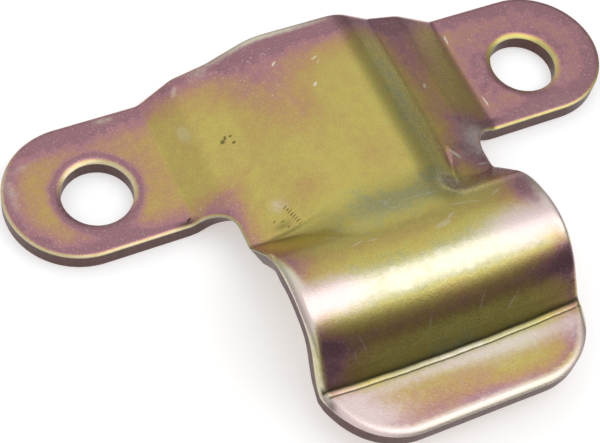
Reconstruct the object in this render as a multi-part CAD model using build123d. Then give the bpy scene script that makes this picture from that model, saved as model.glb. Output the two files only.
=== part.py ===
from build123d import *
import os
from math import atan2, cos, radians, sin

# Stamped bracket, pressed from one steel blank. Millimetres.
# Origin: midway between the two bolt holes, on the mounting plane (the ears' underside).
# +X runs along the line of holes, +Z points away from the mounting plane, the tongue points to -Y.

# Sheet
sheet_thickness = 2.5

# Ears, the two flat ends that bolt down
hole_spacing = 61.0
hole_diameter = 9.0
hole_rim_radius = 0.8
ear_end_radius = 9.5
ear_end_overhang = 1.9
ear_axis_offset = 1.1

# Raised middle: heights are of the top face above the ears' top face
far_edge_y = 10.9
foot_half_width = 21.4
shoulder_half_width = 16.4
shoulder_height = 3.1
rib_foot_half_width = 11.6
rib_foot_height = 4.45
rib_crest_half_width = 5.7
rib_height = 7.5
foot_bend_radius = 1.2
shoulder_bend_radius = 3.0
rib_foot_bend_radius = 2.5
rib_crest_bend_radius = 6.0

# Tongue: a half-round saddle that ends in a flat lip
tongue_width = 34.3
corner_radius = 4.0
saddle_axis_y = -26.0
saddle_axis_height = 3.9
saddle_inside_radius = 7.0
rise_angle = 51.0
fall_angle = 54.0
lip_clearance = 3.6
lip_end_y = -44.3
lip_corner_radius = 9.0
fold_bend_radius = 1.9

# Worked out from the above
ear_end_x = hole_spacing / 2 + ear_end_overhang
ear_near_y = ear_axis_offset - ear_end_radius
ear_far_y = ear_axis_offset + ear_end_radius
length_half = ear_end_x + ear_end_radius
saddle_outside_radius = saddle_inside_radius + sheet_thickness
lip_top_z = lip_clearance + sheet_thickness
floor_z = -sheet_thickness
beyond = sheet_thickness


def shifted(points, distance):
    """The bent line moved square to itself, downwards, with its corners mitred."""
    angles = [atan2(b[1] - a[1], b[0] - a[0]) for a, b in zip(points, points[1:])]
    angles = [angles[0]] + angles + [angles[-1]]
    moved = []
    for point, before, after in zip(points, angles, angles[1:]):
        middle = (before + after) / 2
        reach = distance / cos((after - before) / 2)
        moved.append((point[0] + reach * sin(middle), point[1] - reach * cos(middle)))
    return moved


def under_line(points, radii, plane):
    """The face between a bent line, rounded at its corners, and the level floor_z below it."""
    line = FilletPolyline(*points, radius=radii)
    bottom = floor_z - beyond
    down = Polyline(points[-1], (points[-1][0], bottom), (points[0][0], bottom), points[0])
    return plane * make_face(line.edges() + down.edges())


def section_points():
    """Top line of the raised middle, seen along the tongue, from the left ear to the right one."""
    half = [
        (length_half + beyond, 0),
        (foot_half_width, 0),
        (shoulder_half_width, shoulder_height),
        (rib_foot_half_width, rib_foot_height),
        (rib_crest_half_width, rib_height),
    ]
    left = [(-x, sheet_thickness + z) for x, z in half]
    right = [(x, sheet_thickness + z) for x, z in reversed(half)]
    return left + right


def section_radii(depth):
    """Corner radii of that line at a depth into the sheet: valleys grow with depth, crests shrink."""
    valley_foot = foot_bend_radius + depth
    valley_rib = rib_foot_bend_radius + depth
    crest_shoulder = shoulder_bend_radius + sheet_thickness - depth
    crest_rib = rib_crest_bend_radius + sheet_thickness - depth
    half = [valley_foot, crest_shoulder, valley_rib, crest_rib]
    return half + half[::-1]


def saddle_points():
    """Top line of the tongue, seen from the left, from the lip's end back to below the root."""
    rise, fall = radians(rise_angle), radians(fall_angle)

    def away_from_axis(angle, z):
        return (saddle_outside_radius - cos(angle) * (z - saddle_axis_height)) / sin(angle)

    reach = saddle_outside_radius / cos((rise + fall) / 2)
    lean = (fall - rise) / 2
    apex = (saddle_axis_y - reach * sin(lean), saddle_axis_height + reach * cos(lean))
    fold = (saddle_axis_y - away_from_axis(fall, lip_top_z), lip_top_z)
    root = (saddle_axis_y + away_from_axis(rise, floor_z), floor_z)
    return [(lip_end_y - beyond, lip_top_z), fold, apex, root]


def saddle_radii(depth):
    return [fold_bend_radius + depth, saddle_outside_radius - depth]


def pressed_form(depth):
    """Everything below the bent sheet's surface at a depth: the middle and the saddle together.
    They meet in the root crease, which is left sharp."""
    across = under_line(shifted(section_points(), depth), section_radii(depth), Plane.XZ)
    middle_length = far_edge_y + beyond - saddle_axis_y
    middle = Pos(0, far_edge_y + beyond, 0) * extrude(across, middle_length)
    along = under_line(shifted(saddle_points(), depth), saddle_radii(depth), Plane.YZ)
    saddle = Pos(-tongue_width / 2 - beyond, 0, 0) * extrude(along, tongue_width + 2 * beyond)
    return middle + saddle


def blank_outline():
    """Plan view of the blank: ears with round ends, and the tongue with round corners at its lip."""
    ears = Pos(0, ear_axis_offset) * SlotOverall(2 * length_half, 2 * ear_end_radius)
    bulge = [
        (foot_half_width, ear_axis_offset),
        (foot_half_width, ear_far_y),
        (shoulder_half_width, far_edge_y),
    ]
    middle = make_face(Polyline(*bulge, *[(-x, y) for x, y in reversed(bulge)], close=True))
    tongue_depth = ear_axis_offset - lip_end_y
    tongue = Pos(0, ear_axis_offset - tongue_depth / 2) * Rectangle(tongue_width, tongue_depth)
    lip_corners = tongue.vertices().filter_by(lambda v: abs(v.Y - lip_end_y) < 0.01)
    outline = ears + middle + fillet(lip_corners, lip_corner_radius)
    web = Pos(0, ear_near_y - corner_radius / 2) * Rectangle(2 * foot_half_width, corner_radius)
    return outline + web


def corner_cut():
    """The notch between the left ear and the tongue. It is square to the sloping sheet, not to the ears."""
    slope = atan2(shoulder_height, foot_half_width - shoulder_half_width)
    reach = (foot_half_width - tongue_width / 2) / cos(slope)
    notch_depth = ear_near_y - saddle_axis_y
    notch = Pos(reach, 0) * Rectangle(4 * reach, notch_depth, align=(Align.MAX, Align.MAX))
    inner_corner = notch.vertices().filter_by(lambda v: abs(v.X - reach) < 0.01 and abs(v.Y) < 0.01)
    notch = fillet(inner_corner, corner_radius)
    foot = Plane(
        origin=(-foot_half_width, ear_near_y, sheet_thickness),
        x_dir=(cos(slope), 0, sin(slope)),
        z_dir=(-sin(slope), 0, cos(slope)),
    )
    return foot * extrude(notch, 3 * sheet_thickness, both=True)


def bolt_hole(x):
    """A punched hole through an ear, with its upper rim rounded."""
    radius = hole_diameter / 2
    rim = Pos(x, 0, sheet_thickness - hole_rim_radius) * Cylinder(
        radius + hole_rim_radius, hole_rim_radius, align=(Align.CENTER, Align.CENTER, Align.MIN)
    )
    roll = Pos(x, 0, sheet_thickness - hole_rim_radius) * Torus(radius + hole_rim_radius, hole_rim_radius)
    bore = Pos(x, 0, sheet_thickness / 2) * Cylinder(radius, 2 * sheet_thickness)
    return bore + (rim - roll)


def bracket():
    top = pressed_form(0)
    below = pressed_form(sheet_thickness)
    height = saddle_axis_height + saddle_outside_radius + beyond
    blank = Pos(0, 0, -beyond / 2) * extrude(blank_outline(), height)
    notch = corner_cut()
    body = (blank & top) - below - notch - mirror(notch, Plane.YZ)
    for side in (-1, 1):
        body -= bolt_hole(side * hole_spacing / 2)
    return body


part = bracket()
os.makedirs("parts", exist_ok=True)
export_step(part, "parts/bracket.step")
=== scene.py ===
import bpy
import math
import numpy as np
from mathutils import Matrix, Vector
from mathutils.geometry import delaunay_2d_cdt


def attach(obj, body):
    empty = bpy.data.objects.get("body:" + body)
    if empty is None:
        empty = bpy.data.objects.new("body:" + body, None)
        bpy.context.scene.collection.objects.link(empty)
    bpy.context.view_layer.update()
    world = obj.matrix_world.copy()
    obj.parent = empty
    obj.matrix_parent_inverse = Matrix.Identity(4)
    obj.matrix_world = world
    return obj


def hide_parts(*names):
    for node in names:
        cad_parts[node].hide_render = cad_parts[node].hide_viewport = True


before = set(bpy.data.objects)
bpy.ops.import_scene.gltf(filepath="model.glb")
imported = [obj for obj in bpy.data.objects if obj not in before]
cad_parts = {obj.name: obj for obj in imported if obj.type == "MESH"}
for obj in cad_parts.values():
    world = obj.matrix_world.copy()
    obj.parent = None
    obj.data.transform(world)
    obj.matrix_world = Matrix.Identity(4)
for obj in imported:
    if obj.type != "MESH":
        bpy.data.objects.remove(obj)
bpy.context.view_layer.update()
mm = 0.001
print("frame loaded")


def addObject(name, data):
    # A new object in the scene, at the origin.
    made = bpy.data.objects.new(name, data)
    bpy.context.scene.collection.objects.link(made)
    return made


view = dict(
    lookAt=(-8.71, -12.42, 2.5),   # mm, the point at the middle of the frame
    elevation=57.52,               # degrees above the mounting plane
    azimuth=-36.29,                # degrees from -Y towards -X
    distance=185.0,                # mm
    roll=13.69,                    # degrees
    lens=90.0,                     # mm
    filmWidth=36.0,                # mm
    clip=(0.01, 10.0),             # m
)


def makeCamera():
    # Camera on a sphere round the looked-at point, turned about its own view line by the roll.
    el, az = math.radians(view["elevation"]), math.radians(view["azimuth"])
    back = Vector((math.cos(el) * math.sin(az), -math.cos(el) * math.cos(az), math.sin(el)))
    across = Vector((math.cos(az), math.sin(az), 0))
    turn = Matrix.Rotation(math.radians(view["roll"]), 3, -back)
    right = turn.inverted() @ across
    up = back.cross(right)
    place = Matrix((right, up, back)).transposed().to_4x4()
    place.translation = (Vector(view["lookAt"]) + view["distance"] * back) * mm
    data = bpy.data.cameras.new("camera")
    data.lens, data.sensor_width = view["lens"], view["filmWidth"]
    data.clip_start, data.clip_end = view["clip"]
    camera = addObject("camera", data)
    camera.matrix_world = place
    bpy.context.scene.camera = camera


makeCamera()
print("camera ready")


sheet = dict(                       # mm and degrees, heights above the ears' upper face
    thickness=2.5,
    earAxis=1.1,                    # y of the ears' middle line
    earRadius=9.5,
    halfLength=41.885,
    holeAt=30.5,
    holeRadius=4.5,
    farEdge=10.9,
    farRadius=6.0,                  # of the outline's corners beside the far edge
    footHalf=21.4,
    shoulderHalf=16.8,
    tongueHalf=17.15,
    notchRadius=4.0,
    lipEnd=-44.3,
    lipCorner=9.0,
    hatSection=[                    # corners from the left ear to the right one: x, height, bend radius
        (-21.3, 0.0, 1.0), (-16.8, 3.2, 4.0), (-12.1, 4.5, 3.5), (-6.2, 7.5, 8.0),
        (6.3, 7.5, 6.5), (11.2, 4.4, 1.8), (15.9, 3.15, 6.0), (21.5, 0.0, 1.2)],
    saddleAxis=(-26.0, 1.393),      # y, height
    saddleRadius=9.5,
    rise=51.0,                      # slope of the saddle's flank at the root
    fall=54.0,                      # slope of its flank at the lip
    lipTop=3.6,
    strip=(0.92, 0.06),             # width and rise of the flattened strip along the fold
    stripBends=(0.5, 0.35),         # bend radii from the strip to the lip and to the flank
    foldBow=(-0.3, 0.55),           # y added to the fold at its middle, and what comes to that at the sides
    bowFade=(3.0, 5.0),             # y from the axis down to where the bow starts, and on to where it is full
    scoreLine=(-37.14, 0.5),        # y of the line that the tool scored under the fold, and its rise at the sides
    scoreWaves=[(0.02, 1.1, 0.0), (0.008, 3.9, 1.0)],   # height, radians per mm, phase
    scoreGroove=(0.085, 0.06),      # half width, depth
    leftPad=((-13.1, -10.3), (-10.1, -15.0), (-14.8, -15.0)),   # corners of the raised triangle at the root
    leftPadStep=(0.09, 0.5),        # its height, and the width of its soft edge
    rightPad=((11.9, -10.9), (10.2, -15.8)),   # left edge of the step at the root's other end
    rightPadStep=(0.30, 0.6),       # its height, and the width of its soft edge
    rightPadFade=(1.5, 4.5),        # x from the edge to where the step starts to fade, and on to where it is gone
    rightPadEnds=(0.5, 1.6, -20.0),   # y past its upper corner where it is gone, over what length, and its lower limit
    rootBand=(0.35, 6.4),           # width of the root's blend at the sides, and what comes to that in the middle
    rootReach=9.3,                  # how far out the added width goes
    rootFade=(0.8, 8.0),            # y from the axis up to where the added width starts, and over what length it comes
    edgeRoll=[                      # the rolled rim along the outline: y, width, depth
        (-17.0, 0.6, 0.17), (-24.0, 0.8, 0.75), (-36.0, 0.8, 0.75), (-40.0, 0.9, 0.30)],
    holeRoll=(1.15, 0.34),          # width and depth of the rolled-in rim that the punch left at a hole
    burr=0.12,                      # radius of every lower rim
    swells=[(-28.5, 5.5, 0.25), (-35.4, 2.8, 0.28)],   # the tongue's sideways bulges: y, half length, amount
    swellFade=(10.0, 6.0, -15.5),   # x where the bulges start, over what width they come, and y where they end
    sideSlant=(1.1, 3.5),           # how far the tongue's sides lean in at the bottom, and how far in the lean reaches
    slantAlong=(-15.0, -23.0),      # y where they lean in full, and where no more
    slantStart=(0.5, 3.5),          # y above the notch where the lean starts, and over what length it comes
)
outside, below = 60.0, 10.0         # mm, how far the two profiles run on, past the sheet and under the ears
hatStep, saddleStep = 0.05, 0.03    # mm, between their points


def eased(value):
    # 0 below 0, 1 above 1, and 3 v^2 - 2 v^3 between
    v = np.clip(value, 0, 1)
    return v * v * (3 - 2 * v)


def bell(distance):
    # exp(-d^2): 1 in the middle and nearly gone at twice the half width
    return np.exp(-distance ** 2)


def roundedLine(points, radii, step, closed=False):
    # A bent line with an arc of each given radius at its corners, as evenly spaced points.
    # An arc starts radius * tan(half the turn) before its corner, and its centre lies square to the line there.
    points = np.asarray(points, float)
    runs = []
    count = len(points)
    for i in range(count):
        if not closed and i in (0, count - 1):
            runs.append(points[i:i + 1])
            continue
        here, before, after = points[i], points[i - 1], points[(i + 1) % count]
        a = (here - before) / np.linalg.norm(here - before)
        b = (after - here) / np.linalg.norm(after - here)
        turn = math.atan2(a[0] * b[1] - a[1] * b[0], a @ b)
        radius = radii[i]
        start = here - a * (radius * math.tan(abs(turn) / 2))
        centre = start + math.copysign(radius, turn) * np.array((-a[1], a[0]))
        angle = np.linspace(0, turn, max(3, int(abs(turn) * radius / step) + 1))
        first = math.atan2(*(start - centre)[::-1])
        runs.append(centre + radius * np.stack((np.cos(first + angle), np.sin(first + angle)), 1))
    line = np.concatenate(runs)
    if closed:
        line = np.concatenate((line, line[:1]))
    length = np.concatenate(([0], np.cumsum(np.linalg.norm(np.diff(line, axis=0), axis=1))))
    wanted = np.linspace(0, length[-1], int(length[-1] / step) + 1)
    even = np.stack([np.interp(wanted, length, line[:, k]) for k in (0, 1)], 1)
    return even[:-1] if closed else even


def hatProfile():
    # Upper line of the raised middle, across the sheet: x and height.
    corners = [(-outside, 0, 0)] + sheet["hatSection"] + [(outside, 0, 0)]
    return roundedLine([c[:2] for c in corners], [c[2] for c in corners], hatStep)


def saddleProfile():
    # Upper line of the tongue, along the sheet, as y and height: lip, strip, falling flank, arc, rising flank.
    # The two flanks' lines meet at radius / cos(half the sum of their slopes) from the axis,
    # leaning from straight above it by half the difference of the slopes.
    rise, fall = math.radians(sheet["rise"]), math.radians(sheet["fall"])
    (y, z), radius, lip = sheet["saddleAxis"], sheet["saddleRadius"], sheet["lipTop"]
    reach, lean = radius / math.cos((rise + fall) / 2), (fall - rise) / 2
    apex = (y - reach * math.sin(lean), z + reach * math.cos(lean))
    foldY = y - (radius - math.cos(fall) * (lip - z)) / math.sin(fall)
    rootY = y + (radius + math.cos(rise) * (z + below)) / math.sin(rise)
    width, lift = sheet["strip"]
    stripY = foldY + lift / math.tan(fall)
    return roundedLine(
        [(-outside, lip), (stripY - width, lip), (stripY, lip + lift), apex, (rootY, -below)],
        [0, *sheet["stripBends"], radius, 0], saddleStep)


hatLine, saddleLine = hatProfile(), saddleProfile()


def padHeight(x, y):
    # The two pads that the tool pressed at the root.
    # Left: a raised triangle, from the least of the distances inside its three sides.
    # Right: a step up across a slanted line, which fades out to the right and towards the far edge.
    inside = np.inf
    corners = sheet["leftPad"]
    for (ax, ay), (bx, by) in zip(corners, corners[1:] + corners[:1]):
        length = math.hypot(bx - ax, by - ay)
        inside = np.minimum(inside, ((by - ay) * (x - ax) - (bx - ax) * (y - ay)) / length)
    height, soft = sheet["leftPadStep"]
    left = height * eased(inside / soft + 0.5)
    (ax, ay), (bx, by) = sheet["rightPad"]
    height, soft = sheet["rightPadStep"]
    plateau, fade = sheet["rightPadFade"]
    past, length, limit = sheet["rightPadEnds"]
    over = x - (bx + (ax - bx) * (y - by) / (ay - by))
    right = height * eased(over / soft + 0.5) * eased(1 - (over - plateau) / fade) * eased((ay + past - y) / length)
    return left + np.where(y > limit, right, 0)


def scoreAt(x):
    # y of the scored line: it bows with the square of x, and waves a little
    middle, rise = sheet["scoreLine"]
    line = middle + rise * (x / sheet["tongueHalf"]) ** 2
    for height, rate, phase in sheet["scoreWaves"]:
        line = line + height * np.sin(x * rate + phase)
    return line


def scoreDepth(x, y):
    # a groove along that line, with a bell-shaped section
    half, depth = sheet["scoreGroove"]
    return depth * bell((y - scoreAt(x)) / half)


def formHeight(x, y, added=0):
    # Height of the upper face before the pads and the score: the higher of the hat section and the saddle.
    # The hat section is a function of x and the saddle one of y, measured from the fold's bow.
    # They join over a band that is narrow at the sides, wide in the middle and gone at the crest:
    # where their gap d is under the band k, the height gains (k - d)^2 / (4 k).
    axisY = sheet["saddleAxis"][0]
    hat = np.interp(x, hatLine[:, 0], hatLine[:, 1]) + added
    middle, ends = sheet["foldBow"]
    start, length = sheet["bowFade"]
    fade = np.clip((axisY - start - y) / length, 0, 1)
    bowed = y - (middle + ends * (x / sheet["tongueHalf"]) ** 2) * fade
    saddle = np.interp(bowed, saddleLine[:, 0], saddleLine[:, 1])
    least, wide = sheet["rootBand"]
    start, length = sheet["rootFade"]
    band = least + wide * np.exp(-(x / sheet["rootReach"]) ** 4) * eased((y - axisY - start) / length)
    gap = np.clip(band - np.abs(hat - saddle), 0, None)
    joined = np.maximum(hat, saddle) + gap ** 2 / (4 * band)
    return np.where(y > axisY, joined, saddle)


def topHeight(x, y):
    # The form with its pads and its scored line.
    return formHeight(x, y, padHeight(x, y)) - scoreDepth(x, y)


def formNormal(x, y):
    # Unit normal of the form, from its slopes over 0.02 mm to each side.
    e = 0.02
    slopeX = (formHeight(x + e, y) - formHeight(x - e, y)) / (2 * e)
    slopeY = (formHeight(x, y + e) - formHeight(x, y - e)) / (2 * e)
    n = np.stack((-slopeX, -slopeY, np.ones_like(slopeX)), 1)
    return n / np.linalg.norm(n, axis=1, keepdims=True)


def swell(y):
    # How much wider the tongue's half is than at its root: the sum of its bulges, each a bell.
    return sum(amount * bell((y - at) / half) for at, half, amount in sheet["swells"])


def sideLean(x, y):
    # How far a point of the lower face moves in: most at the tongue's side, none at a reach from it,
    # and only between the notch and the saddle's crest.
    amount, reach = sheet["sideSlant"]
    full, none = sheet["slantAlong"]
    start, length = sheet["slantStart"]
    near = sheet["earAxis"] - sheet["earRadius"]
    along = eased((y - none) / (full - none)) * eased((near + start - y) / length)
    return np.sign(x) * amount * along * eased(1 - (sheet["tongueHalf"] - np.abs(x)) / reach)


def insideDepth(x, y):
    # How far a plan point lies inside the blank: the ears are a slot shape, the tongue a rounded box,
    # and the two meet in a rounded inner corner.
    u, v = np.abs(x), y - sheet["earAxis"]
    ears = sheet["earRadius"] - np.hypot(np.clip(u - sheet["halfLength"] + sheet["earRadius"], 0, None), v)
    r = sheet["lipCorner"]
    a = u - sheet["tongueHalf"] - swell(y) + r
    b = np.abs(y - sheet["lipEnd"] / 2) + sheet["lipEnd"] / 2 + r
    tongue = r - np.hypot(np.clip(a, 0, None), np.clip(b, 0, None)) - np.clip(np.maximum(a, b), None, 0)
    k = sheet["notchRadius"]
    near = sheet["earAxis"] - sheet["earRadius"]
    notch = np.hypot(np.clip(u - sheet["tongueHalf"], 0, None) - k, near - np.minimum(y, near) - k) - k
    inNotch = (u > sheet["tongueHalf"]) & (u < sheet["tongueHalf"] + k) & (y < near) & (y > near - k)
    return np.where(inNotch, notch, np.maximum(ears, tongue))


skin = dict(                        # how the plan is divided, mm
    rimStep=0.3,                    # along the outline
    holePoints=110,
    rings=7,                        # inside every rim
    crowding=1.4,                   # power that draws the rings towards the rim
    wallRows=7,                     # down the cut edge
    cutValues=(0.3, 1.0),           # of the first and the last of those rows
    gridStep=0.34,
    gridSpan=((-42.0, 42.01), (-45.0, 11.5)),   # x and y
    fineGrids=[                     # at the pads: x from and to, y from and to, step
        (-16.4, -8.6, -16.6, -9.4, 0.16), (9.0, 16.6, -17.2, -9.6, 0.16)],
    rimRoom=(0.8, 0.4, 0.2),        # kept free inside the outline, and what the tongue adds to that: coarse, fine grid
    tongueFrom=-15.0,               # y
    farRoom=1.1,                    # kept free at the far edge
    holeRoom=0.2,                   # kept free round a hole's rings
    scoreSpan=(-17.0, 17.0, 0.16),  # rows along the scored line: x from and to, step
    scoreRows=(                     # their y from it
        -0.45, -0.27, -0.16, -0.09, 0, 0.09, 0.16, 0.27, 0.42, 0.54, 0.64, 0.74, 0.84, 0.96, 1.12, 1.3),
    scoreRoom=1.05,                 # kept free inside the outline
    scoreGap=(0.42, 1.0),           # the grid's gap for the rows: middle, half width
    sharpAngle=50,                  # degrees
    mergeWithin=1e-7,
)


def outlineLoop():
    # The blank's outline in plan, anticlockwise: the right half's corners and their mirror images, each with an arc.
    # The tongue's sides are moved out by its swell.
    t, e = sheet["tongueHalf"], sheet["halfLength"]
    near, far = sheet["earAxis"] - sheet["earRadius"], sheet["earAxis"] + sheet["earRadius"]
    end = sheet["earRadius"] - 0.01   # so that the two arcs of an ear's end stay apart
    right = [
        (t, sheet["lipEnd"], sheet["lipCorner"]), (t, near, sheet["notchRadius"]), (e, near, end), (e, far, end),
        (sheet["footHalf"], far, sheet["farRadius"]), (sheet["shoulderHalf"], sheet["farEdge"], sheet["farRadius"])]
    corners = right + [(-x, y, r) for x, y, r in right[::-1]]
    loop = roundedLine([c[:2] for c in corners], [c[2] for c in corners], skin["rimStep"], closed=True)
    inner, length, start = sheet["swellFade"]
    x, y = loop.T
    loop[:, 0] += np.sign(x) * swell(y) * eased((np.abs(x) - inner) / length) * eased(start - y)
    return loop


def holeLoop(x):
    # A hole's edge in plan, clockwise, so that the metal lies on its left as on the outline's.
    angle = np.linspace(0, -2 * math.pi, skin["holePoints"], endpoint=False)
    return np.stack((x + sheet["holeRadius"] * np.cos(angle), sheet["holeRadius"] * np.sin(angle)), 1)


def rollAlong(loop):
    # Width and depth of the rim's roll at each point of the outline, read off between the listed places.
    at, width, depth = np.array(sheet["edgeRoll"][::-1]).T
    return np.interp(loop[:, 1], at, width), np.interp(loop[:, 1], at, depth)


def leftward(loop):
    # Unit normals of a closed loop, to its left: the difference of the neighbours, turned by a right angle.
    along = np.roll(loop, -1, 0) - np.roll(loop, 1, 0)
    along /= np.linalg.norm(along, axis=1, keepdims=True)
    return np.stack((-along[:, 1], along[:, 0]), 1)


def planGrid():
    # Plan points between the rims: a square grid, finer squares at the pads, and rows along the scored line.
    def clear(x, y, margin):
        # Those that lie deeper inside the outline than the margin, and clear of the far edge and of the holes' rings.
        x, y = x.ravel(), y.ravel()
        away = np.hypot(np.abs(x) - sheet["holeAt"], y) - sheet["holeRadius"] - sheet["holeRoll"][0]
        room = (insideDepth(x, y) > margin(y)) & (y < sheet["farEdge"] - skin["farRoom"]) & (away > skin["holeRoom"])
        return np.stack((x[room], y[room]), 1)

    least, more, fineMore = skin["rimRoom"]
    start, step = skin["tongueFrom"], skin["gridStep"]
    across, along = (np.arange(*span, step) for span in skin["gridSpan"])
    grid = clear(*np.meshgrid(across, along), lambda y: least + more * eased(start - y))
    for x0, x1, y0, y1, step in skin["fineGrids"]:
        x, y = grid.T
        coarse = grid[(x < x0 - step) | (x > x1) | (y < y0 - step) | (y > y1)]
        fine = np.meshgrid(np.arange(x0, x1, step), np.arange(y0, y1, step))
        grid = np.concatenate((coarse, clear(*fine, lambda y: least + fineMore * eased(start - y))))
    middle, half = skin["scoreGap"]
    across = np.arange(*skin["scoreSpan"])
    rowX = np.repeat(across, len(skin["scoreRows"]))
    rowY = scoreAt(rowX) + np.tile(skin["scoreRows"], len(across))
    grid = grid[np.abs(grid[:, 1] - scoreAt(grid[:, 0]) - middle) > half]
    return np.concatenate((grid, clear(rowX, rowY, lambda y: skin["scoreRoom"])))


def planFaces(sizes, starts, plan):
    # Faces of the plan: quads between neighbouring rings, and triangles from the innermost rings inwards.
    # sizes has each rim's number of points, and starts where each rim's rings start, then where the grid does.
    quads, inner, edges = [], [], []
    innerCount = 0
    for n, start in zip(sizes, starts):
        i = np.arange(n)
        j = (i + 1) % n
        for k in range(skin["rings"] - 1):
            lo, hi = start + k * n, start + (k + 1) * n
            quads.append(np.stack((lo + i, lo + j, hi + j, hi + i), 1))
        inner.append(start + (skin["rings"] - 1) * n + i)
        edges.append(np.stack((innerCount + i, innerCount + j), 1))
        innerCount += n
    used = np.concatenate(inner + [np.arange(starts[-1], len(plan))])
    points = [Vector(p) for p in plan[used].tolist()]
    out = delaunay_2d_cdt(points, np.concatenate(edges).tolist(), [], 2, skin["mergeWithin"])
    source = np.array([o[0] for o in out[3]])
    tris = used[source[np.array(out[2])]]
    x, y = plan[tris].mean(1).T
    holeRings = sheet["holeRadius"] + sheet["holeRoll"][0]
    return np.concatenate(quads), tris[np.hypot(np.abs(x) - sheet["holeAt"], y) > holeRings]   # none across a hole


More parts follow.
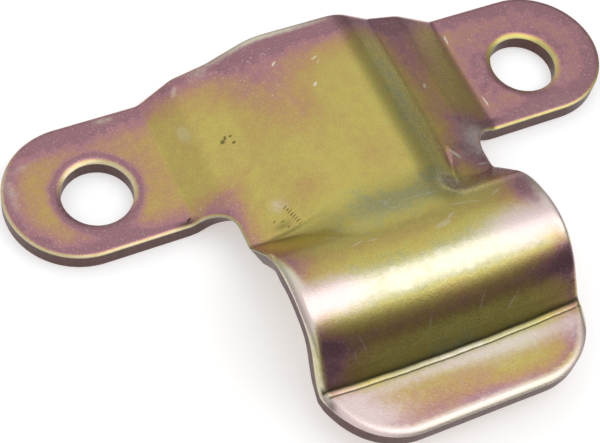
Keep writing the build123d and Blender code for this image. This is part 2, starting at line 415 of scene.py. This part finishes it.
plating = dict(                     # film value: 0 is rubbed pale, 1 is purple
    plain=0.33,                     # in the open middle
    under=(0.62, 0.3),              # on the lower face, and how much of the upper face's change it has
    edge=(0.42, 2.4),               # added along the outline, and how far in it reaches, mm
    hole=(0.62, 0.75, 0.6),         # the same round a hole, and how far from it this starts
    holeShares=((-1, 1.0), (1, 0.1)),   # side, share of that
    footLine=(-21.2, 0.17, 0.3),    # x of the left foot's crease, film added on the ear's side of it, softness
    rimFilm=0.08,                   # film value of the rolled rims' pale band: worn plating all round, and a painted highlight where the rim faces the near left
    rimBand=(0.70, 1.15),           # their pale band as a share of the roll's width, and how full it is
    rimShares=(0.90, 0.26),         # the band's share where the rim faces the near left, raised there as a painted highlight, and on the other sides, as worn plating
    rimFacing=(0.45, 0.783),        # x and y of the direction from which the near left is told
    tongueBand=(1.4, -18.0, 6.0),   # how much wider the band is on the tongue, from which y and over what length
    earsFrom=-12.0,                 # y
    rightEarFrom=17.0,              # x
    rimRubAndHighlight=(0.16, 0.52),            # how much the rolled rims are worn pale, with a painted highlight on the near left, on the right ear and elsewhere
    rimBlush=0.7,                   # how pinkish they are on the ears
    filmAndHighlightSpots=[                     # x, y, half widths, added film; the pale ones on the tongue's crest and on the fold's strip are a painted highlight
        (-31, 1, 12, 13, 0.22), (-37.5, 1, 2.2, 5, -0.06), (-30, -7.5, 9, 2.0, 0.04),   # left ear
        (-30, 8.5, 8, 2.4, 0.22), (-25.0, -4, 2.0, 4, -0.10),
        (31, 1, 11.5, 14, 0.70), (20.0, 0, 1.5, 9, -0.22), (23.4, -1, 2.4, 8, 0.16), (37, 1, 4, 6, 0.08),   # right ear
        (-1, 11, 13, 4.6, 0.50), (-15, 8, 4, 4, 0.16), (-7.5, 4.5, 4.5, 5, 0.38), (-1, 4, 5, 3.5, 0.10),   # far edge
        (14, 8, 3.6, 5.5, 0.36), (13.6, 0, 2.2, 7, 0.30), (14.5, -11, 2.6, 4.5, 0.36),   # right panel
        (18.6, -9.5, 3, 3.6, 0.24),
        (-18.0, -10.5, 2.2, 3, 0.30), (-5, -3, 7, 7, 0.13), (11.2, -13.5, 0.8, 2.6, 0.35),   # middle
        (13.4, -13, 2.6, 2.6, 0.26), (-15, 1, 5, 8, -0.05), (-2, -8, 6, 4, -0.05), (0, 7.5, 6, 3, 0.16),
        (-3, -2, 3, 2.5, 0.10), (2, -9, 4, 3, 0.08), (-8, -12, 2.4, 2, 0.10), (9.0, -4, 2.0, 13, -0.13),
        (0, -18.2, 9, 3.0, -0.20), (8.5, -16.5, 3.5, 1.8, -0.12), (-15.5, -16.5, 3, 1.5, 0.10),   # root
        (14, -17, 3, 1.2, 0.24),
        (-14.8, -22.6, 3.4, 2.6, 0.20), (15.4, -22.0, 3.0, 3.4, 0.52), (-3, -23.6, 10, 1.2, 0.14),   # rising flank
        (9, -22.6, 4, 1.6, 0.12),
        (0, -28.8, 20, 2.3, -0.34), (-14, -28, 3, 2.4, 0.22), (15.0, -25.5, 2.6, 3.0, 0.30),   # tongue's crest: the colour of a painted highlight, pale in the middle and tinted at the ends
        (2, -31.2, 14, 0.7, 0.16), (0, -32.9, 22, 1.0, 0.36), (-15.5, -34.0, 3.6, 2.0, 0.42),   # falling flank
        (16.0, -32.3, 5.4, 1.5, 0.44),
        (0, -37.0, 18, 1.0, -0.30), (-14.2, -39.5, 3.0, 4.0, 0.30), (14.4, -39, 2.6, 4.5, 0.30),   # lip; the first spot, pale along the fold's strip, is a painted highlight
        (-2, -40.0, 12, 2.6, 0.30), (-7, -42.4, 7, 1.2, 0.16), (4, -43, 8, 1.0, 0.16), (4.5, -40.6, 4, 1.4, -0.14)],
    rubbedAndHighlightSpots=[                   # the same for plating worn pale, and for the pale painted highlight on the tongue's crest and the fold's strip
        (-16.9, -24.2, 0.9, 2.0, 0.50), (-16.6, -27.5, 1.0, 3.0, 0.50), (16.7, -26.5, 0.9, 3.6, 0.60),   # sides
        (16.4, -22, 1.2, 2.8, 0.30),
        (-13.5, -28.0, 5.0, 2.4, 0.85), (12.5, -27.2, 6.0, 2.8, 0.85), (0, -28.6, 12, 2.2, 0.60),   # tongue's crest: painted highlight, pale where the lamp's highlight falls
        (-12, -11.8, 1.2, 1.2, 0.4), (13.4, -13, 2, 2, 0.2),   # pads
        (-15.2, -39.0, 2.6, 2.8, 0.60), (0, -43.6, 14, 0.9, 0.48), (-1, -37.9, 16, 0.75, 0.50),   # lip; the first spot on the next line, along the fold's strip, is a painted highlight
        (0, -36.7, 17, 0.45, 0.3), (-12.6, -41, 4.4, 2.6, 0.60), (0, -40, 15, 3.5, 0.16),
        (15, -40, 2, 4, 0.3), (8, -38.6, 8, 1.2, 0.45),
        (17.4, -10.5, 2.6, 3, 0.85), (9.5, -17.5, 2.5, 1.5, 0.30),   # right notch: the first spot is a painted highlight that lightens where the strip mirrors dark surroundings
        (-4, 10.5, 9, 0.5, 0.75), (-13.5, 9.6, 1.6, 0.8, 0.3),   # far edge
        (-40.3, 3.5, 0.9, 3.5, 0.36), (-38.2, 6.5, 1.4, 0.8, 0.32), (-26, 9.8, 2.0, 0.5, 0.4),   # ears
        (30, -7.4, 7, 1.2, 0.20), (34.5, -3, 3, 3, 0.16)],
    blushSpots=[                    # the same for where the worn plating and the painted highlight are pinkish
        (-12, -11.8, 2, 2, 0.8), (16, -11, 4, 4, 0.9), (-14, -28, 6, 4, 1.0), (14, -27, 7, 4, 1.0),
        (-14, -40, 6, 5, 1.0), (0, -42.8, 18, 1.6, 0.8), (14, -40, 4, 5, 0.9), (-4, -37.4, 12, 1.3, 0.6),
        (0, -40, 16, 2.5, 0.4)],
    darkSpots=[                     # the same for painted shade in the creases and corners
        (-16.8, -37.6, 0.5, 0.8, 0.6), (-15.2, -41.6, 0.45, 0.3, 0.8), (-21.9, -7.9, 1.3, 0.35, 0.8),
        (10.6, -13.8, 0.25, 2.0, 0.45), (-13.0, -15.6, 3.6, 0.25, 0.5), (-13.0, -16.4, 3.0, 0.7, 0.22),
        (13.8, -16.2, 2.8, 0.35, 0.5), (21.9, -7.2, 1.0, 0.35, 0.5), (-12.6, -14.6, 1.1, 0.5, 0.45)],
    darkLines=[                     # painted shade along the score: y from it, half width, amount
        (0.0, 0.085, 1.0), (0.74, 0.24, 1.0), (1.75, 0.12, 0.3)],
    darkHalf=17.2,                  # half length of those lines
)


def softSpots(x, y, spots):
    # Sum of bell-shaped spots: each is its amount times exp(-(dx / rx)^2 - (dy / ry)^2).
    total = np.zeros_like(x)
    for cx, cy, rx, ry, amount in spots:
        total += amount * np.exp(-((x - cx) / rx) ** 2 - ((y - cy) / ry) ** 2)
    return total


def filmAndHighlightOver(x, y):
    # Film value of the upper face: thicker near the outline and the holes, a step at the left foot's crease,
    # plus the soft spots, whose pale ones on the tongue's crest and the fold's strip are a painted highlight. The
    # holes' rings raise it to a level, so they don't add to what is there already.
    added, reach = plating["edge"]
    filmAndHighlight = plating["plain"] + added * bell(np.clip(insideDepth(x, y), 0, None) / reach)
    added, reach, start = plating["hole"]
    for side, share in plating["holeShares"]:
        away = np.clip(np.hypot(x - side * sheet["holeAt"], y) - sheet["holeRadius"] - start, 0, None)
        filmAndHighlight += share * np.clip(plating["plain"] + added - filmAndHighlight, 0, None) * bell(away / reach)
    line, step, soft = plating["footLine"]
    filmAndHighlight += step * eased((line - x) / soft + 0.5)
    return filmAndHighlight + softSpots(x, y, plating["filmAndHighlightSpots"])


def creaseShadeOver(x, y):
    # Painted shade in the creases: soft spots, plus bell-shaped lines in the score and beside it.
    away = y - scoreAt(x)
    lines = [amount * bell((away - at) / half) for at, half, amount in plating["darkLines"]]
    lines = np.max(lines, 0) * (np.abs(x) < plating["darkHalf"])
    return np.clip(lines + softSpots(x, y, plating["darkSpots"]), 0, 1)


def rimRings(loop, width, depth):
    # Rings from a rim inwards, as rows of x, y, drop, lift and pale share.
    # Over the roll's width w the upper face drops by depth * (1 - inset / w)^2,
    # and the lower face is lifted by a quarter round of the burr radius.
    # The pale share fades inwards, and is largest where the rim faces the near left: worn plating all round, raised on
    # the near left as a painted highlight.
    share = np.linspace(0, 1, skin["rings"])[:, None] ** skin["crowding"]
    inset = share * np.broadcast_to(width, len(loop))
    side = leftward(loop)
    x, y = (loop[:, k] + inset * side[:, k] for k in (0, 1))
    drop = np.broadcast_to(depth, len(loop)) * (1 - share) ** 2
    burr = sheet["burr"]
    left = np.clip(1 - inset / burr, 0, 1)
    lift = burr * (1 - np.sqrt(1 - left ** 2))
    reach, full = plating["rimBand"]
    wider, start, length = plating["tongueBand"]
    band = eased(full - share / (reach * (1 + wider * eased((start - loop[:, 1]) / length))))
    near, far = plating["rimShares"]
    facing = eased(0.5 + side @ plating["rimFacing"])
    return np.stack((x, y, drop, lift, band * (far + (near - far) * facing)), 2).reshape(-1, 5)


def surfaceValues(flat, pale, cut):
    # What the finish reads at every point, from its place in the plan.
    # The points of the upper face come first, then those of the lower face, then the cut edge's.
    x, y = flat.T
    count = len(pale)
    top, under = slice(0, count), slice(count, 2 * count)
    onEars = y[top] > plating["earsFrom"]
    # the film and the worn plating also carry a painted highlight on the tongue's crest, the fold's strip and the near
    # rims
    filmAndHighlight = filmAndHighlightOver(x, y)
    filmAndHighlight[top] += pale * (plating["rimFilm"] - filmAndHighlight[top])
    level, kept = plating["under"]
    filmAndHighlight[under] = level + kept * (filmAndHighlight[under] - plating["plain"])
    rubbedAndHighlight = softSpots(x, y, plating["rubbedAndHighlightSpots"])
    rubbedAndHighlight[top] += pale * np.where((x[top] > plating["rightEarFrom"]) & onEars, *plating["rimRubAndHighlight"])
    rubbedAndHighlight[under] = 0
    blush = softSpots(x, y, plating["blushSpots"])
    blush[top] += plating["rimBlush"] * pale * onEars
    # painted shade in the creases and along the score
    creaseShade = creaseShadeOver(x, y)
    creaseShade[count:] = 0
    return dict(filmAndHighlight=filmAndHighlight, rubbedAndHighlight=rubbedAndHighlight, cut=cut, creaseShade=creaseShade, blush=blush)


def makeSheet():
    # The whole sheet as one closed skin. Plan points are lifted to the upper face,
    # and the lower face is the form moved by the thickness along its normal.
    # At every rim, rows of quads run straight from the upper face to the lower one.
    rims = [outlineLoop()] + [holeLoop(side * sheet["holeAt"]) for side in (-1, 1)]
    rings = [rimRings(rims[0], *rollAlong(rims[0]))] + [rimRings(rim, *sheet["holeRoll"]) for rim in rims[1:]]
    sizes, starts = [len(rim) for rim in rims], np.cumsum([0] + [len(part) for part in rings])
    x, y, drop, lift, pale = np.concatenate(rings + [np.pad(planGrid(), ((0, 0), (0, 3)))]).T
    plan, count = np.stack((x, y), 1), len(x)
    quads, tris = planFaces(sizes, starts, plan)
    normal = formNormal(x, y)
    upper = np.stack((x, y, topHeight(x, y)), 1) - drop[:, None] * normal
    lower = np.stack((x, y, formHeight(x, y)), 1) - (sheet["thickness"] - lift)[:, None] * normal
    lower[:, 0] -= sideLean(x, y)

    verts, flat, cut, walls = [upper, lower], [plan, plan], [np.zeros(2 * count)], []
    start, rows = 2 * count, skin["wallRows"]
    down = np.linspace(0, 1, rows + 2)[1:-1, None, None]
    for n, ring in zip(sizes, starts):
        i = np.arange(n)
        j = (i + 1) % n
        verts.append((upper[ring + i] * (1 - down) + lower[ring + i] * down).reshape(-1, 3))
        flat.append(np.tile(plan[ring + i], (rows, 1)))
        cut.append(np.repeat(np.linspace(*skin["cutValues"], rows), n))
        index = [ring + i] + [start + r * n + i for r in range(rows)] + [count + ring + i]
        walls += [np.stack((p, q, q[j], p[j]), 1) for p, q in zip(index, index[1:])]
        start += rows * n

    verts = np.concatenate(verts) + (0, 0, sheet["thickness"])
    parts = [quads, tris, count + quads[:, ::-1], count + tris[:, ::-1], *walls]
    mesh = bpy.data.meshes.new("bracketSheet")
    mesh.from_pydata((verts * mm).tolist(), [], [face for part in parts for face in part.tolist()])
    for name, values in surfaceValues(np.concatenate(flat), pale, np.concatenate(cut)).items():
        mesh.attributes.new(name, "FLOAT", "POINT").data.foreach_set("value", values.astype(np.float32))
    mesh.shade_smooth()
    mesh.set_sharp_from_angle(angle=math.radians(skin["sharpAngle"]))
    return addObject("bracketSheet", mesh)


piece = makeSheet()
print("sheet made", len(piece.data.vertices), "points", len(piece.data.polygons), "faces")


def feed(tree, socket, value):
    # A socket takes another node's output, or a fixed value.
    if isinstance(value, bpy.types.NodeSocket):
        tree.links.new(value, socket)
    else:
        socket.default_value = value


def addNode(tree, kind, output, inputs=None, **settings):
    # A shader node with its settings, fed by the inputs named or numbered. What comes back is the output asked for.
    node = tree.nodes.new("ShaderNode" + kind)
    for name, value in settings.items():
        setattr(node, name, value)
    for name, value in (inputs or {}).items():
        feed(tree, node.inputs[name], value)
    return node.outputs[output]


def combined(tree, operation, a, b):
    # Two values, by one step of arithmetic.
    return addNode(tree, "Math", "Value", {0: a, 1: b}, operation=operation)


def ranged(tree, value, low, high, toLow=0.0, toHigh=1.0):
    # toLow up to low, toHigh from high on, and 3 v^2 - 2 v^3 between.
    limits = {"From Min": low, "From Max": high, "To Min": toLow, "To Max": toHigh}
    return addNode(tree, "MapRange", "Result", {"Value": value, **limits}, interpolation_type="SMOOTHSTEP")


finish = dict(               # the size of a noise is its features per metre
    filmColours=[            # film value, colour
        (0.00, (0.70, 0.66, 0.50)), (0.13, (0.43, 0.42, 0.19)), (0.30, (0.565, 0.480, 0.125)),
        (0.46, (0.535, 0.405, 0.125)), (0.60, (0.52, 0.34, 0.13)), (0.72, (0.50, 0.29, 0.17)),
        (0.83, (0.46, 0.24, 0.20)), (0.93, (0.43, 0.21, 0.24)), (1.00, (0.34, 0.17, 0.20))],
    filmNoise=[              # drift, mottle and grain of the film: size, detail, range
        (150, 3, 0.40), (850, 3, 0.34), (4300, 1, 0.11)],
    valueNoise=(6100, 1, 0.16),      # the same for the colour's value
    noiseSpan=(0.3, 0.7),    # noise values between which a value changes
    # pale colour of the worn plating and of the painted highlight, and on the next line its pinkish version
    rubbedAndHighlightColour=(0.73, 0.69, 0.53),
    blushColour=(0.74, 0.60, 0.58),
    wornAndHighlightNoise=(1500, 4, 0.65, 0.55),   # patchiness of the worn plating and the painted highlight: size, detail, roughness, range
    wornAndHighlightSpan=(0.06, 0.90),   # values of the worn plating and painted highlight where it starts and where it is full
    scuffNoise=(3600, 2, 0.6),       # fine specks: size, detail, roughness
    scuffSpan=(0.60, 0.72),  # noise values where a speck starts and where it is full
    scuffFilm=(0.40, 0.80),  # film values where specks start and where they are strongest
    scuffStrength=0.55,
    cutColour=(0.112, 0.056, 0.050),
    cutSpan=(0.02, 0.25),    # cut values where the cut edge starts and where it is full
    cutStreak=(2600, 2600, 260),     # shear marks: size along x, y and z
    cutStreakRange=0.26,
    # dark colour of the pits and dark marks, and of the painted shade in the creases
    dirtAndShadeColour=(0.040, 0.032, 0.010),
    roughness=0.27,
    roughNoise=(1100, 3, 0.10),      # size, detail, range
    cutRoughness=0.5,
    creaseShadeRoughness=0.3,       # added where the painted shade in the creases lies
    coat=(0.25, 0.2),        # weight, roughness
    bumpNoise=(3300, 3, 0.6),        # size, detail, roughness
    bump=(0.22, 0.00006),    # strength, distance in metres
    markNoise=2200,          # size of the waver of the marks' outlines
    markWaver=0.00035,       # its range in metres
    markSpan=(0.45, 1.15),   # shares of a mark's oval where it is full and where it is gone
    markDepth=2.0,           # mm
    paleMarks=[              # scratches and rubbed places: x, y, half length, half width, angle, strength
        (12.3, -12.4, 1.1, 0.26, -60, 0.9), (15.6, -14.3, 1.2, 0.14, 6, 0.8), (15.7, -12.6, 0.3, 0.16, 0, 0.9),
        (-5, 6, 0.5, 0.20, 40, 1), (0.3, 5.2, 0.6, 0.13, 20, 1), (0.5, 4.4, 0.4, 0.1, 40, 0.7),
        (-1.3, 1.4, 0.45, 0.2, 40, 1), (13.8, -1.2, 0.5, 0.18, 60, 1),
        (22.1, 6.9, 0.9, 0.15, 85, 1), (22.4, -4, 1.1, 0.13, 95, 1),
        (3.0, -18.7, 3.2, 0.07, -3, 0.6), (-7.6, -22.7, 1.0, 0.12, 14, 0.7), (-5.8, -22.9, 0.8, 0.09, -4, 0.6),
        (6.4, -21.7, 1.2, 0.11, -14, 0.6), (8.3, -22.2, 0.9, 0.09, -22, 0.5), (11.5, -21.8, 0.8, 0.20, 20, 0.5),
        (3, -24, 1.3, 0.4, 10, 0.35), (4.4, -23.2, 0.9, 0.2, 30, 0.4),
        (-18, 3, 0.8, 1.6, 10, 0.22), (-17, 9, 1.0, 0.4, 60, 0.35), (-10, -20.2, 1.2, 0.08, -20, 0.8),
        (4, -33.4, 1.4, 0.10, 50, 0.6), (8, -34.2, 1.6, 0.08, 35, 0.6), (-3, -33.8, 0.9, 0.12, 60, 0.5),
        (-11.5, -33.4, 1.2, 0.10, -65, 0.6), (-12.6, -34.2, 0.9, 0.08, -70, 0.5)],
    darkMarks=[              # the same for pits and dirt
        (-14.4, -0.6, 0.40, 0.30, 20, 0.7), (-14.0, -0.2, 0.35, 0.22, 60, 0.7), (-13.2, -1.3, 0.3, 0.2, 0, 0.7),
        (-13.3, -0.3, 0.25, 0.2, 0, 0.65), (-21.5, -7.5, 0.5, 0.16, 30, 1),
        (-11.4, -12.5, 0.35, 0.09, 20, 0.7), (-11.3, -12.9, 0.35, 0.08, 24, 0.7),   # short lines at the left pad
        (-11.2, -13.3, 0.4, 0.09, 20, 0.75), (-11.1, -13.7, 0.4, 0.09, 16, 0.75),
        (-11.0, -14.1, 0.4, 0.09, 22, 0.75), (-10.9, -14.5, 0.35, 0.09, 20, 0.7),
        (-10.8, -14.9, 0.35, 0.08, 18, 0.7), (-10.7, -15.3, 0.3, 0.08, 20, 0.6),
        (-13.3, -13.6, 0.3, 0.14, 30, 0.6), (-12.4, -14.0, 0.35, 0.12, 10, 0.6), (-12.0, -15.0, 0.2, 0.12, 10, 0.6),
        (16.5, -34.3, 0.3, 0.12, 0, 0.6)],
)


def makePlating():
    # Yellow zinc plating on steel: the film value, with drift, mottle and grain added, runs through the film colours.
    # Over it come the worn plating with the painted highlight of the tongue's crest and the near rims, the pale marks,
    # the dark marks, the cut edge's sheared steel, and painted shade in the creases.
    material = bpy.data.materials.new("yellowZincPlating")
    material.use_nodes = True
    tree = material.node_tree
    bsdf = tree.nodes["Principled BSDF"].inputs
    place = addNode(tree, "TexCoord", "Object")

    def noise(size, detail=2.0, rough=0.5, at=place, output="Fac"):
        # Noise over the piece's own coordinates.
        return addNode(tree, "TexNoise", output, {"Scale": size, "Detail": detail, "Roughness": rough, "Vector": at})

    def swung(value, spread):
        # (noise - 0.5) * range
        return combined(tree, "MULTIPLY", combined(tree, "SUBTRACT", value, 0.5), spread)

    def shaded(colour, value, spread):
        # The colour times a factor of 1, give or take half the range.
        factor = ranged(tree, value, *finish["noiseSpan"], 1 - spread / 2, 1 + spread / 2)
        return addNode(tree, "VectorMath", "Vector", {0: colour, "Scale": factor}, operation="SCALE")

    def surface(name):
        # A value that the mesh carries at its points.
        return addNode(tree, "Attribute", "Fac", attribute_name=name)

    def mixed(share, a, b):
        # (1 - share) * a + share * b
        a, b = ((*c, 1) if isinstance(c, tuple) else c for c in (a, b))
        return addNode(tree, "Mix", 2, {0: share, 6: a, 7: b}, data_type="RGBA")

    shaken = noise(finish["markNoise"], output="Color")
    wavered = {0: shaken, 1: (finish["markWaver"],) * 3, 2: place}
    wavered = addNode(tree, "VectorMath", "Vector", wavered, operation="MULTIPLY_ADD")

    def marks(places):
        # The strongest of the marks at a point: each is full inside part of its oval and gone just past its edge.
        strongest = 0.0
        shift = finish["markWaver"] / 2
        for x, y, length, width, angle, strength in places:
            z = float(topHeight(np.array([x]), np.array([y]))[0]) + sheet["thickness"]
            oval = addNode(tree, "Mapping", "Vector", {
                "Vector": wavered,
                "Location": [v * mm + shift for v in (x, y, z)],
                "Rotation": (0, 0, math.radians(angle)),
                "Scale": [v * mm for v in (length, width, finish["markDepth"])],
            }, vector_type="TEXTURE")
            away = addNode(tree, "VectorMath", "Value", {0: oval}, operation="LENGTH")
            strongest = combined(tree, "MAXIMUM", strongest, ranged(tree, away, *finish["markSpan"], strength, 0.0))
        return strongest

    filmAndHighlight = surface("filmAndHighlight")
    for size, detail, spread in finish["filmNoise"]:
        filmAndHighlight = combined(tree, "ADD", filmAndHighlight, swung(noise(size, detail), spread))
    ramp = tree.nodes.new("ShaderNodeValToRGB")
    stops = ramp.color_ramp.elements
    while len(stops) < len(finish["filmColours"]):
        stops.new(0.5)
    for stop, (at, colour) in zip(stops, finish["filmColours"]):
        stop.position, stop.color = at, (*colour, 1)
    feed(tree, ramp.inputs["Fac"], filmAndHighlight)
    size, detail, spread = finish["valueNoise"]
    plated = shaded(ramp.outputs["Color"], noise(size, detail), spread)

    *kind, spread = finish["wornAndHighlightNoise"]
    # worn plating, together with the painted highlight on the tongue's crest, the fold's strip and the near rims
    rubbedAndHighlight = combined(tree, "ADD", surface("rubbedAndHighlight"), swung(noise(*kind), spread))
    wornAndHighlight = combined(tree, "MAXIMUM", ranged(tree, rubbedAndHighlight, *finish["wornAndHighlightSpan"]), marks(finish["paleMarks"]))
    specks = ranged(tree, noise(*finish["scuffNoise"]), *finish["scuffSpan"], 0.0, finish["scuffStrength"])
    specks = combined(tree, "MULTIPLY", specks, ranged(tree, surface("filmAndHighlight"), *finish["scuffFilm"]))
    bareAndHighlight = mixed(ranged(tree, surface("blush"), 0.0, 1.0), finish["rubbedAndHighlightColour"], finish["blushColour"])
    colour = mixed(combined(tree, "MAXIMUM", wornAndHighlight, specks), plated, bareAndHighlight)
    colour = mixed(marks(finish["darkMarks"]), colour, finish["dirtAndShadeColour"])

    squeezed = addNode(tree, "Mapping", "Vector", {"Vector": place, "Scale": finish["cutStreak"]})
    sheared = shaded(finish["cutColour"], noise(1, at=squeezed), finish["cutStreakRange"])
    onCut = ranged(tree, surface("cut"), *finish["cutSpan"])
    colour = mixed(onCut, colour, sheared)
    # the painted shade in the creases and along the score darkens the colour
    feed(tree, bsdf["Base Color"], mixed(surface("creaseShade"), colour, finish["dirtAndShadeColour"]))
    feed(tree, bsdf["Metallic"], 1)

    size, detail, spread = finish["roughNoise"]
    rough = combined(tree, "MULTIPLY", noise(size, detail), spread)
    rough = combined(tree, "ADD", rough, finish["roughness"] - spread / 2)
    rougher = combined(tree, "MULTIPLY", onCut, finish["cutRoughness"] - finish["roughness"])
    rough = combined(tree, "ADD", rough, rougher)
    rougher = combined(tree, "MULTIPLY", surface("creaseShade"), finish["creaseShadeRoughness"])
    feed(tree, bsdf["Roughness"], combined(tree, "ADD", rough, rougher))
    for name, value in zip(("Coat Weight", "Coat Roughness"), finish["coat"]):
        feed(tree, bsdf[name], value)
    strength, distance = finish["bump"]
    bump = {"Strength": strength, "Distance": distance, "Height": noise(*finish["bumpNoise"])}
    feed(tree, bsdf["Normal"], addNode(tree, "Bump", "Normal", bump))
    return material


piece.data.materials.append(makePlating())
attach(piece, "root")
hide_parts("bracket")
print("finish ready")


studio = dict(
    heights=(0.15, 0.8),             # sines of the elevations between which the level rises
    levels=(0.6, 0.9),               # the level below and above them
    dimSides=[                       # direction, degrees of the full and of the last dimming, level left
        ((0.36, -0.88, 0.22), 20, 52, 0.24),
        ((0.90, 0.40, 0.15), 22, 46, 0.56),
    ],
    boxAt=(228, -150, 562),          # mm
    boxAim=(0, -26, 10),             # mm
    boxSize=(410, 610),              # mm
    boxPower=0.67,                   # watts
    floorHalf=1500,                  # mm
    floorLow=0.03,                   # mm below the mounting plane, so that the two faces stay apart
    floorMiddle=(0, -15, 0),         # mm
    floorReach=(60, 130),            # mm from that, where the floor is still near and where it is far
    floorColour=(0.8, 0.2),          # near and far
    floorShow=(0.4, 0.95),           # what it adds where it is seen, near and far, so that it shows white
    floorMirrored=0.4,               # what it adds near the bracket where it is mirrored
    floorRoughness=0.9,
)


def makeFloor():
    # One wide square. It is lit like paper under the bracket and falls off round it,
    # and it adds what makes it white where it is seen or mirrored.
    mesh = bpy.data.meshes.new("floor")
    r, low = studio["floorHalf"] * mm, -studio["floorLow"] * mm
    mesh.from_pydata([(-r, -r, low), (r, -r, low), (r, r, low), (-r, r, low)], [], [(0, 1, 2, 3)])
    material = bpy.data.materials.new("paleFloor")
    material.use_nodes = True
    tree = material.node_tree
    middle = Vector(studio["floorMiddle"]) * mm
    place = addNode(tree, "TexCoord", "Object")
    away = addNode(tree, "VectorMath", "Value", {0: place, 1: middle}, operation="DISTANCE")

    def fallOff(near, far):
        # From the near value to the far one, with the distance from the floor's middle.
        return ranged(tree, away, *(r * mm for r in studio["floorReach"]), near, far)

    seen = combined(tree, "MULTIPLY", addNode(tree, "LightPath", "Is Camera Ray"), fallOff(*studio["floorShow"]))
    glossy, through = (addNode(tree, "LightPath", name) for name in ("Is Glossy Ray", "Is Transmission Ray"))
    mirrored = combined(tree, "MAXIMUM", glossy, through)
    mirrored = combined(tree, "MULTIPLY", mirrored, fallOff(studio["floorMirrored"], 0.0))
    bsdf = tree.nodes["Principled BSDF"].inputs
    feed(tree, bsdf["Base Color"], fallOff(*studio["floorColour"]))
    feed(tree, bsdf["Roughness"], studio["floorRoughness"])
    feed(tree, bsdf["Emission Color"], (1, 1, 1, 1))
    feed(tree, bsdf["Emission Strength"], combined(tree, "ADD", seen, mirrored))
    mesh.materials.append(material)
    addObject("floor", mesh)


def makeLamp():
    # A rectangular area lamp, turned to face the tongue.
    data = bpy.data.lights.new("overheadBox", "AREA")
    data.shape = "RECTANGLE"
    data.size, data.size_y = (side * mm for side in studio["boxSize"])
    data.energy = studio["boxPower"]
    lamp = addObject("overheadBox", data)
    at, aim = Vector(studio["boxAt"]), Vector(studio["boxAim"])
    lamp.location = at * mm
    lamp.rotation_euler = (aim - at).to_track_quat("-Z", "Y").to_euler()


def makeWorld():
    # Pale studio: the level rises smoothly with the height of a direction, and is dimmed round each listed side.
    world = bpy.data.worlds.new("studio")
    world.use_nodes = True
    tree = world.node_tree
    direction = addNode(tree, "TexCoord", "Generated")

    def fadeRound(towards, span, levels):
        # From the first level to the last as the cosine of the angle from a direction goes over the span.
        dot = {0: direction, 1: Vector(towards).normalized()}
        return ranged(tree, addNode(tree, "VectorMath", "Value", dot, operation="DOT_PRODUCT"), *span, *levels)

    level = fadeRound((0, 0, 1), studio["heights"], studio["levels"])
    for towards, inner, outer, left in studio["dimSides"]:
        span = [math.cos(math.radians(angle)) for angle in (outer, inner)]
        level = combined(tree, "MULTIPLY", level, fadeRound(towards, span, (1, left)))
    background = tree.nodes["Background"].inputs
    feed(tree, background["Strength"], combined(tree, "MAXIMUM", level, addNode(tree, "LightPath", "Is Camera Ray")))
    feed(tree, background["Color"], (1, 1, 1, 1))
    bpy.context.scene.world = world


makeFloor()
makeWorld()
makeLamp()
bpy.context.scene.view_settings.view_transform = "Standard"
print("stage ready")
